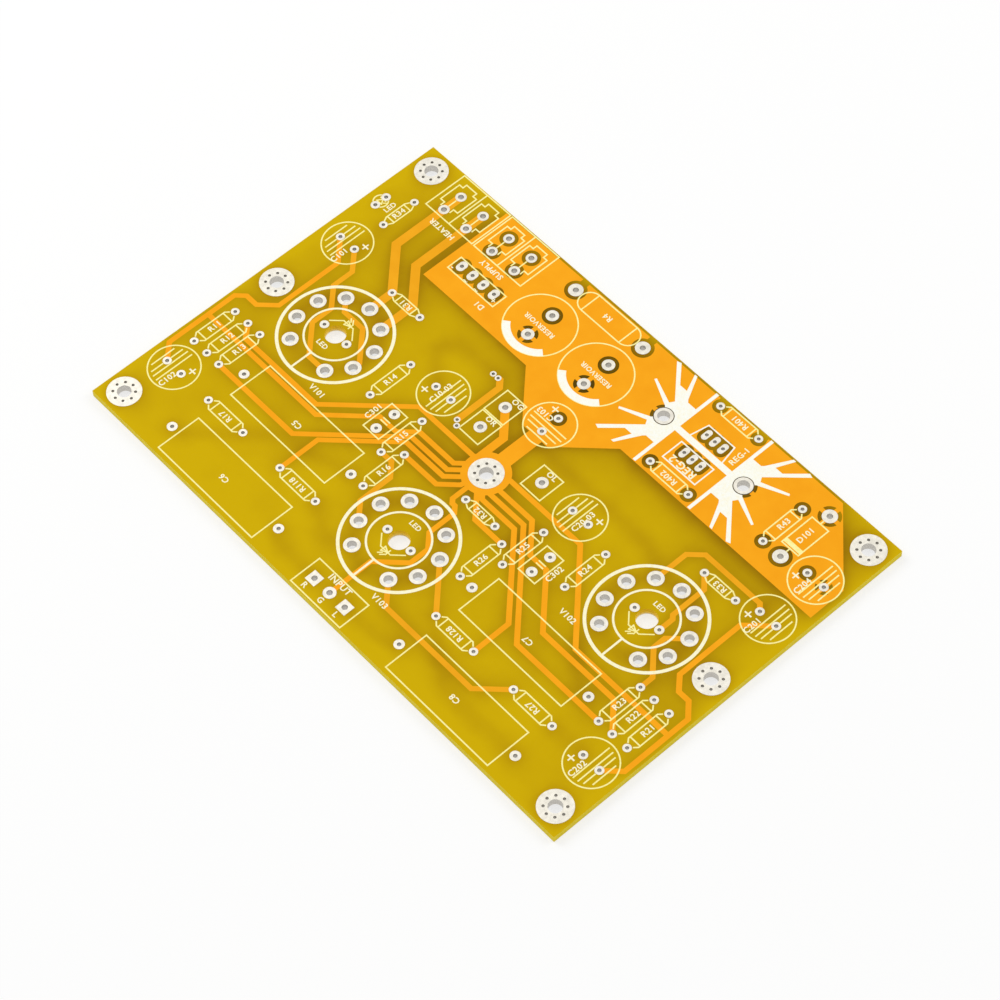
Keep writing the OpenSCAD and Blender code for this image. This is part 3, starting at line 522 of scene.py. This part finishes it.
def strip(bm, points, width, base, heights):
    """Adds a flat line through places in mils, up or down from a base level. Its stretches take the heights
    in turn, so that where two of them meet their faces lie at different levels."""
    for a, b in zip(points, points[1:]):
        start, end = Vector(a), Vector(b)
        along = end - start
        middle = (start + end) / 2 * MIL
        height = heights[len(bm.faces) // BOX_FACES % len(heights)]
        place = Matrix.Translation((middle.x, middle.y, base + height / 2))
        turn = Matrix.Rotation(math.atan2(along.y, along.x), 4, "Z")
        size = Matrix.Diagonal(((along.length + width) * MIL, width * MIL, abs(height), 1))
        bmesh.ops.create_cube(bm, size=1, matrix=place @ turn @ size)


def short_of(end, before):
    """The place where a lower track stops short of the hole at its end, on the way from the corner before."""
    away = [abs((Vector(end) - Vector(socket)).length - PIN_CIRCLE) for socket in SOCKETS]
    step = Vector(before) - Vector(end)
    return Vector(end) + step.normalized() * (PIN_STOP if min(away) < PIN_SLACK else LEAD_STOP)


def lower_copper():
    """The tracks of the underside, thinner than the lands that they run to."""
    bm = bmesh.new()
    for width, route in LOWER_TRACKS:
        ends = [short_of(route[0], route[1]), short_of(route[-1], route[-2])]
        strip(bm, [ends[0]] + route[1:-1] + [ends[1]], width * LOWER_SHARE, BOARD_LOW.z, LOWER_T)
    finished("lower_copper", bm, "copper", TRACK)


def section(bm, centre, radii, height):
    """The corners and sides of the section of a flat ring round a centre."""
    inner, outer = radii
    corners = [bm.verts.new(centre + Vector((r, 0, z)))
               for r, z in ((inner, 0), (outer, 0), (outer, height), (inner, height))]
    return corners, [bm.edges.new(pair) for pair in zip(corners, corners[1:] + corners[:1])]


def shaded_sink_rims():
    """The rings of bare laminate between the lands of the heat sink and the print round them, made dark as
    painted shade.
    """
    bm = bmesh.new()
    for x, y in SINK_TABS:
        centre = Vector((x * MIL, y * MIL, TOP_Z))
        corners, sides = section(bm, centre, RIM, RIM_T)
        bmesh.ops.spin(bm, geom=corners + sides, cent=centre, axis=(0, 0, 1), angle=2 * math.pi,
                       steps=RIM_STEPS, use_merge=True)
    bmesh.ops.recalc_face_normals(bm, faces=bm.faces)
    finished("shaded_sink_rims", bm, "mask", BARE_AND_SHADE)


def reservoir_bands():
    """The thick print of the bands, over the thin print of the circles that they lie in."""
    bm = bmesh.new()
    for x, y in TANKS:
        centre = Vector((x * MIL, y * MIL, TOP_Z))
        corners, sides = section(bm, centre, BAND, BAND_T)
        start = Matrix.Rotation(BAND_MIDDLE - BAND_TURN / 2, 3, "Z")
        bmesh.ops.rotate(bm, verts=corners, cent=centre, matrix=start)
        bmesh.ops.spin(bm, geom=corners + sides, cent=centre, axis=(0, 0, 1), angle=BAND_TURN,
                       steps=BAND_STEPS)
    bmesh.ops.holes_fill(bm, edges=[e for e in bm.edges if e.is_boundary])
    bmesh.ops.recalc_face_normals(bm, faces=bm.faces)
    finished("reservoir_bands", bm, "ink", THICK_INK)


make_board()
lower_copper()
shaded_sink_rims()
reservoir_bands()


# Words and signs of the legend: text, place and turn, and the height of the letters where it isn't the usual
# one. They lie a little higher than the outlines that they cross.
LETTER = 57
STROKE = 12
WORD_T = 1.08 * INK_T
SIGN_T = [(1.01 + 0.01 * i) * INK_T for i in range(6)]
# steps of a letter's curves, extra weight and spacing, and the height of a capital as a share of the
# font's size
LETTER_STEPS = 2
LETTER_WEIGHT = 0.022
LETTER_SPACING = 1.08
CAPITAL = 0.72
RESISTOR_WORDS = [
    ("R11", -2802, -768, 90), ("R12", -2625, -768, 90), ("R13", -2457, -770, 90), ("R14", -1296, -6, 90),
    ("R15", -774, -332, 90), ("R16", -615, -676, 90), ("R26", 639, -672, 90), ("R25", 795, -332, 90),
    ("R24", 1317, -96, 90), ("R23", 2460, -770, 90), ("R22", 2625, -770, 90), ("R21", 2802, -770, 90),
    ("R17", -1986, -1316, 180), ("R118", -1011, -1316, 180), ("R128", 1029, -1318, 180),
    ("R27", 1998, -1318, 180), ("R31", -1815, 628, 180), ("R32", 279, -358, 180), ("R33", 2205, 626, 180),
    ("R34", -2634, 1260, 90), ("R401", 1123, 1914, 180), ("R402", 1115, 1068, 180), ("R43", 2127, 1460, 90),
    ("R4", -484, 1846, 180),
]
CAPACITOR_WORDS = [
    ("C101", -2645, 556, 90), ("C102", -2645, -1438, 90), ("C10-03", -885, 225, 90), ("C103", -100, 745, 180),
    ("C20-03", 947, 225, 90), ("C201", 2665, 556, 90), ("C202", 2665, -1436, 90), ("C204", 2674, 1137, 90),
    ("C5", -1493, -916, 180), ("C6", -1493, -1739, 180), ("C7", 1498, -916, 180), ("C8", 1498, -1733, 180),
    ("C301", -1145, -334, 90), ("C302", 1167, -312, 90),
    ("RESERVOIR", -837, 1349, 180, 50), ("RESERVOIR", -101, 1349, 180, 50),
]
VALVE_WORDS = [
    ("V101", -1645, -559, 0), ("V102", 1546, -512, 0), ("V103", 361, -1572, 0),
    ("LED", -2000, -198, 0, 50), ("LED", 2005, 115, 0, 50), ("LED", 0, -854, 0, 50),
    ("LED", -2740, 1247, 90, 52),
]
SUPPLY_WORDS = [
    ("HEATER", -2233, 1428, 180), ("SUPPLY", -1586, 1450, 180), ("D1", -1366, 1102, 180),
    ("REG-1", 1375, 1665, 90), ("REG-2", 1115, 1234, 180, 76), ("D101", 2335, 1512, 90),
]
CONNECTION_WORDS = [
    ("INPUT", 9, -1709, 0, 62), ("R", -198, -1929, 0), ("G", 9, -1929, 0), ("L", 203, -1929, 0),
    ("OG", -335, 631, 0), ("OR", -365, 344, 0), ("OL", 423, 340, 0),
]
# centre and turn of each small can, whose plus sign lies ahead of its positive lead
CANS = [
    (-2700, 700, 0), (-2703, -1314, 0), (-870, 238, 180), (15, 694, 90),
    (897, 236, 0), (2706, 700, 180), (2703, -1314, 180), (2706, 1260, 180),
]
PLUS_AT = Vector((146, 90))
PLUS_SIZE = 62
# widths of the level stroke and of the upright one
PLUS_STROKES = (15, 13)
BRIDGE_SIGNS = [("-", -1848, 1215, 0), ("~", -1655, 1195, 0), ("~", -1515, 1195, 0), ("+", -1320, 1225, 0)]


def word(bm, text, x, y, turn, height=LETTER):
    """Adds a word of the legend, lying on the board round a place in mils."""
    letters = bpy.data.curves.new("word", "FONT")
    letters.body = text
    letters.align_x = "CENTER"
    letters.align_y = "CENTER"
    letters.resolution_u = LETTER_STEPS
    # half up and half down, so that the word is 1 high before it is scaled
    letters.extrude = 0.5
    letters.offset = LETTER_WEIGHT
    letters.space_character = LETTER_SPACING
    holder = bpy.data.objects.new("word", letters)
    scene.collection.objects.link(holder)
    mesh = bpy.data.meshes.new_from_object(holder.evaluated_get(bpy.context.evaluated_depsgraph_get()))
    bpy.data.objects.remove(holder)
    bpy.data.curves.remove(letters)
    size = Matrix.Diagonal((height * MIL / CAPITAL, height * MIL / CAPITAL, WORD_T, 1))
    place = Matrix.Translation((x * MIL, y * MIL, TOP_Z + WORD_T / 2))
    mesh.transform(place @ Matrix.Rotation(math.radians(turn), 4, "Z") @ size)
    bm.from_mesh(mesh)
    bpy.data.meshes.remove(mesh)


def line(bm, points, width=STROKE):
    """Adds a legend line."""
    strip(bm, points, width, TOP_Z, SIGN_T)


def words(name, table):
    """A piece of the legend made of words."""
    bm = bmesh.new()
    for entry in table:
        word(bm, *entry)
    finished(name, bm, "ink", INK)


def signs():
    """Plus signs of the cans and the signs of the bridge."""
    bm = bmesh.new()
    for x, y, turn in CANS:
        centre = Vector((x, y)) + Matrix.Rotation(math.radians(turn), 2) @ PLUS_AT
        arms = Vector((PLUS_SIZE / 2, 0)), Vector((0, PLUS_SIZE / 2))
        for arm, width in zip(arms, PLUS_STROKES):
            line(bm, [centre - arm, centre + arm], width)
    for text, x, y, turn in BRIDGE_SIGNS:
        word(bm, text, x, y, turn)
    finished("polarity_signs", bm, "ink", INK)


# the lamp drawn inside each socket, above its centre or below it, and in the indicator
LAMP_SIDES = [1, -1, -1]
LAMP_PATH = [(-152, 63), (-62, 153), (62, 153), (152, 63)]
LAMP_ARROW = [(-30, 125), (30, 153), (-30, 181), (-30, 125)]
LAMP_BAR = [(30, 125), (30, 181)]
LAMP_RAYS = [[(-6, 186), (-32, 214)], [(22, 186), (-4, 214)]]
INDICATOR = (-2856, 1234)
INDICATOR_MARK = [
    [(-32, -20), (32, -20), (0, 28), (-32, -20)],
    [(-32, 30), (32, 30)],
    [(36, 2), (62, 28)],
]


def lamps():
    """The lamp symbols in the sockets and in the indicator."""
    bm = bmesh.new()
    for (x, y), side in zip(SOCKETS, LAMP_SIDES):
        for path in [LAMP_PATH, LAMP_ARROW, LAMP_BAR] + LAMP_RAYS:
            line(bm, [(x + a, y + side * b) for a, b in path])
    for path in INDICATOR_MARK:
        line(bm, [(INDICATOR[0] + a, INDICATOR[1] + b) for a, b in path])
    finished("lamp_symbols", bm, "ink", THIN_INK)


words("resistor_words", RESISTOR_WORDS)
words("capacitor_words", CAPACITOR_WORDS)
words("valve_words", VALVE_WORDS)
words("supply_words", SUPPLY_WORDS)
words("connection_words", CONNECTION_WORDS)
signs()
lamps()


# The stage: a wide floor just under the board, a white room and two softboxes, with places in metres and
# power in watts.
FLOOR_SIZE = 3.0
FLOOR_DROP = 0.02 * MM
# strength of the room as a light; where it is seen, it is white
ROOM_LIGHT = 0.62
SOFTBOX_SIZE = 0.7
SOFTBOXES = [
    ("left softbox", (-0.9, -0.3, 0.9), 6.0),
    ("right softbox", (0.5, 0.9, 0.9), 4.15),
]


def lay_floor():
    """The floor, which is no part of the object."""
    bm = bmesh.new()
    bmesh.ops.create_grid(bm, x_segments=1, y_segments=1, size=FLOOR_SIZE / 2,
                          matrix=Matrix.Translation((0, 0, -FLOOR_DROP)))
    mesh = bpy.data.meshes.new("floor_mesh")
    bm.to_mesh(mesh)
    bm.free()
    mesh.materials.append(studio_floor())
    floor = bpy.data.objects.new("floor", mesh)
    scene.collection.objects.link(floor)


def light_room():
    """The white room round the board."""
    world = bpy.data.worlds.new("studio")
    scene.world = world
    world.use_nodes = True
    tree = world.node_tree
    tree.nodes.clear()
    level = ranged(tree, shown(tree), ROOM_LIGHT, 1.0)
    room = node(tree, "ShaderNodeBackground", {"Color": colour("#FFFFFF"), "Strength": level})
    node(tree, "ShaderNodeOutputWorld", {"Surface": room.outputs["Background"]})


def softbox(name, place, power):
    """A square area lamp that faces the middle of the board."""
    lamp = bpy.data.lights.new(name, "AREA")
    lamp.shape = "SQUARE"
    lamp.size = SOFTBOX_SIZE
    lamp.energy = power
    made = bpy.data.objects.new(name, lamp)
    made.location = place
    made.rotation_euler = (-Vector(place)).to_track_quat("-Z", "Y").to_euler()
    scene.collection.objects.link(made)


scene.view_settings.view_transform = "Standard"
lay_floor()
light_room()
for entry in SOFTBOXES:
    softbox(*entry)

# The camera, as the photograph was taken.
AIM = Vector((7.5 * MM, -3.7 * MM, TOP_Z))
AZIMUTH = math.radians(-39.82)
ELEVATION = math.radians(56.9)
ROLL = math.radians(-2.65)
DISTANCE = 744.3 * MM
SENSOR = 36.0
LENS = 123.05


def set_camera():
    """The camera, at its distance from what it aims at, and rolled a little."""
    lens = bpy.data.cameras.new("camera")
    lens.sensor_width = SENSOR
    lens.lens = LENS
    camera = bpy.data.objects.new("camera", lens)
    level = math.cos(ELEVATION)
    towards = Vector((level * math.cos(AZIMUTH), level * math.sin(AZIMUTH), math.sin(ELEVATION)))
    camera.location = AIM + DISTANCE * towards
    facing = (-towards).to_track_quat("-Z", "Y").to_matrix()
    camera.rotation_euler = (facing @ Matrix.Rotation(ROLL, 3, "Z")).to_euler()
    scene.collection.objects.link(camera)
    scene.camera = camera


set_camera()
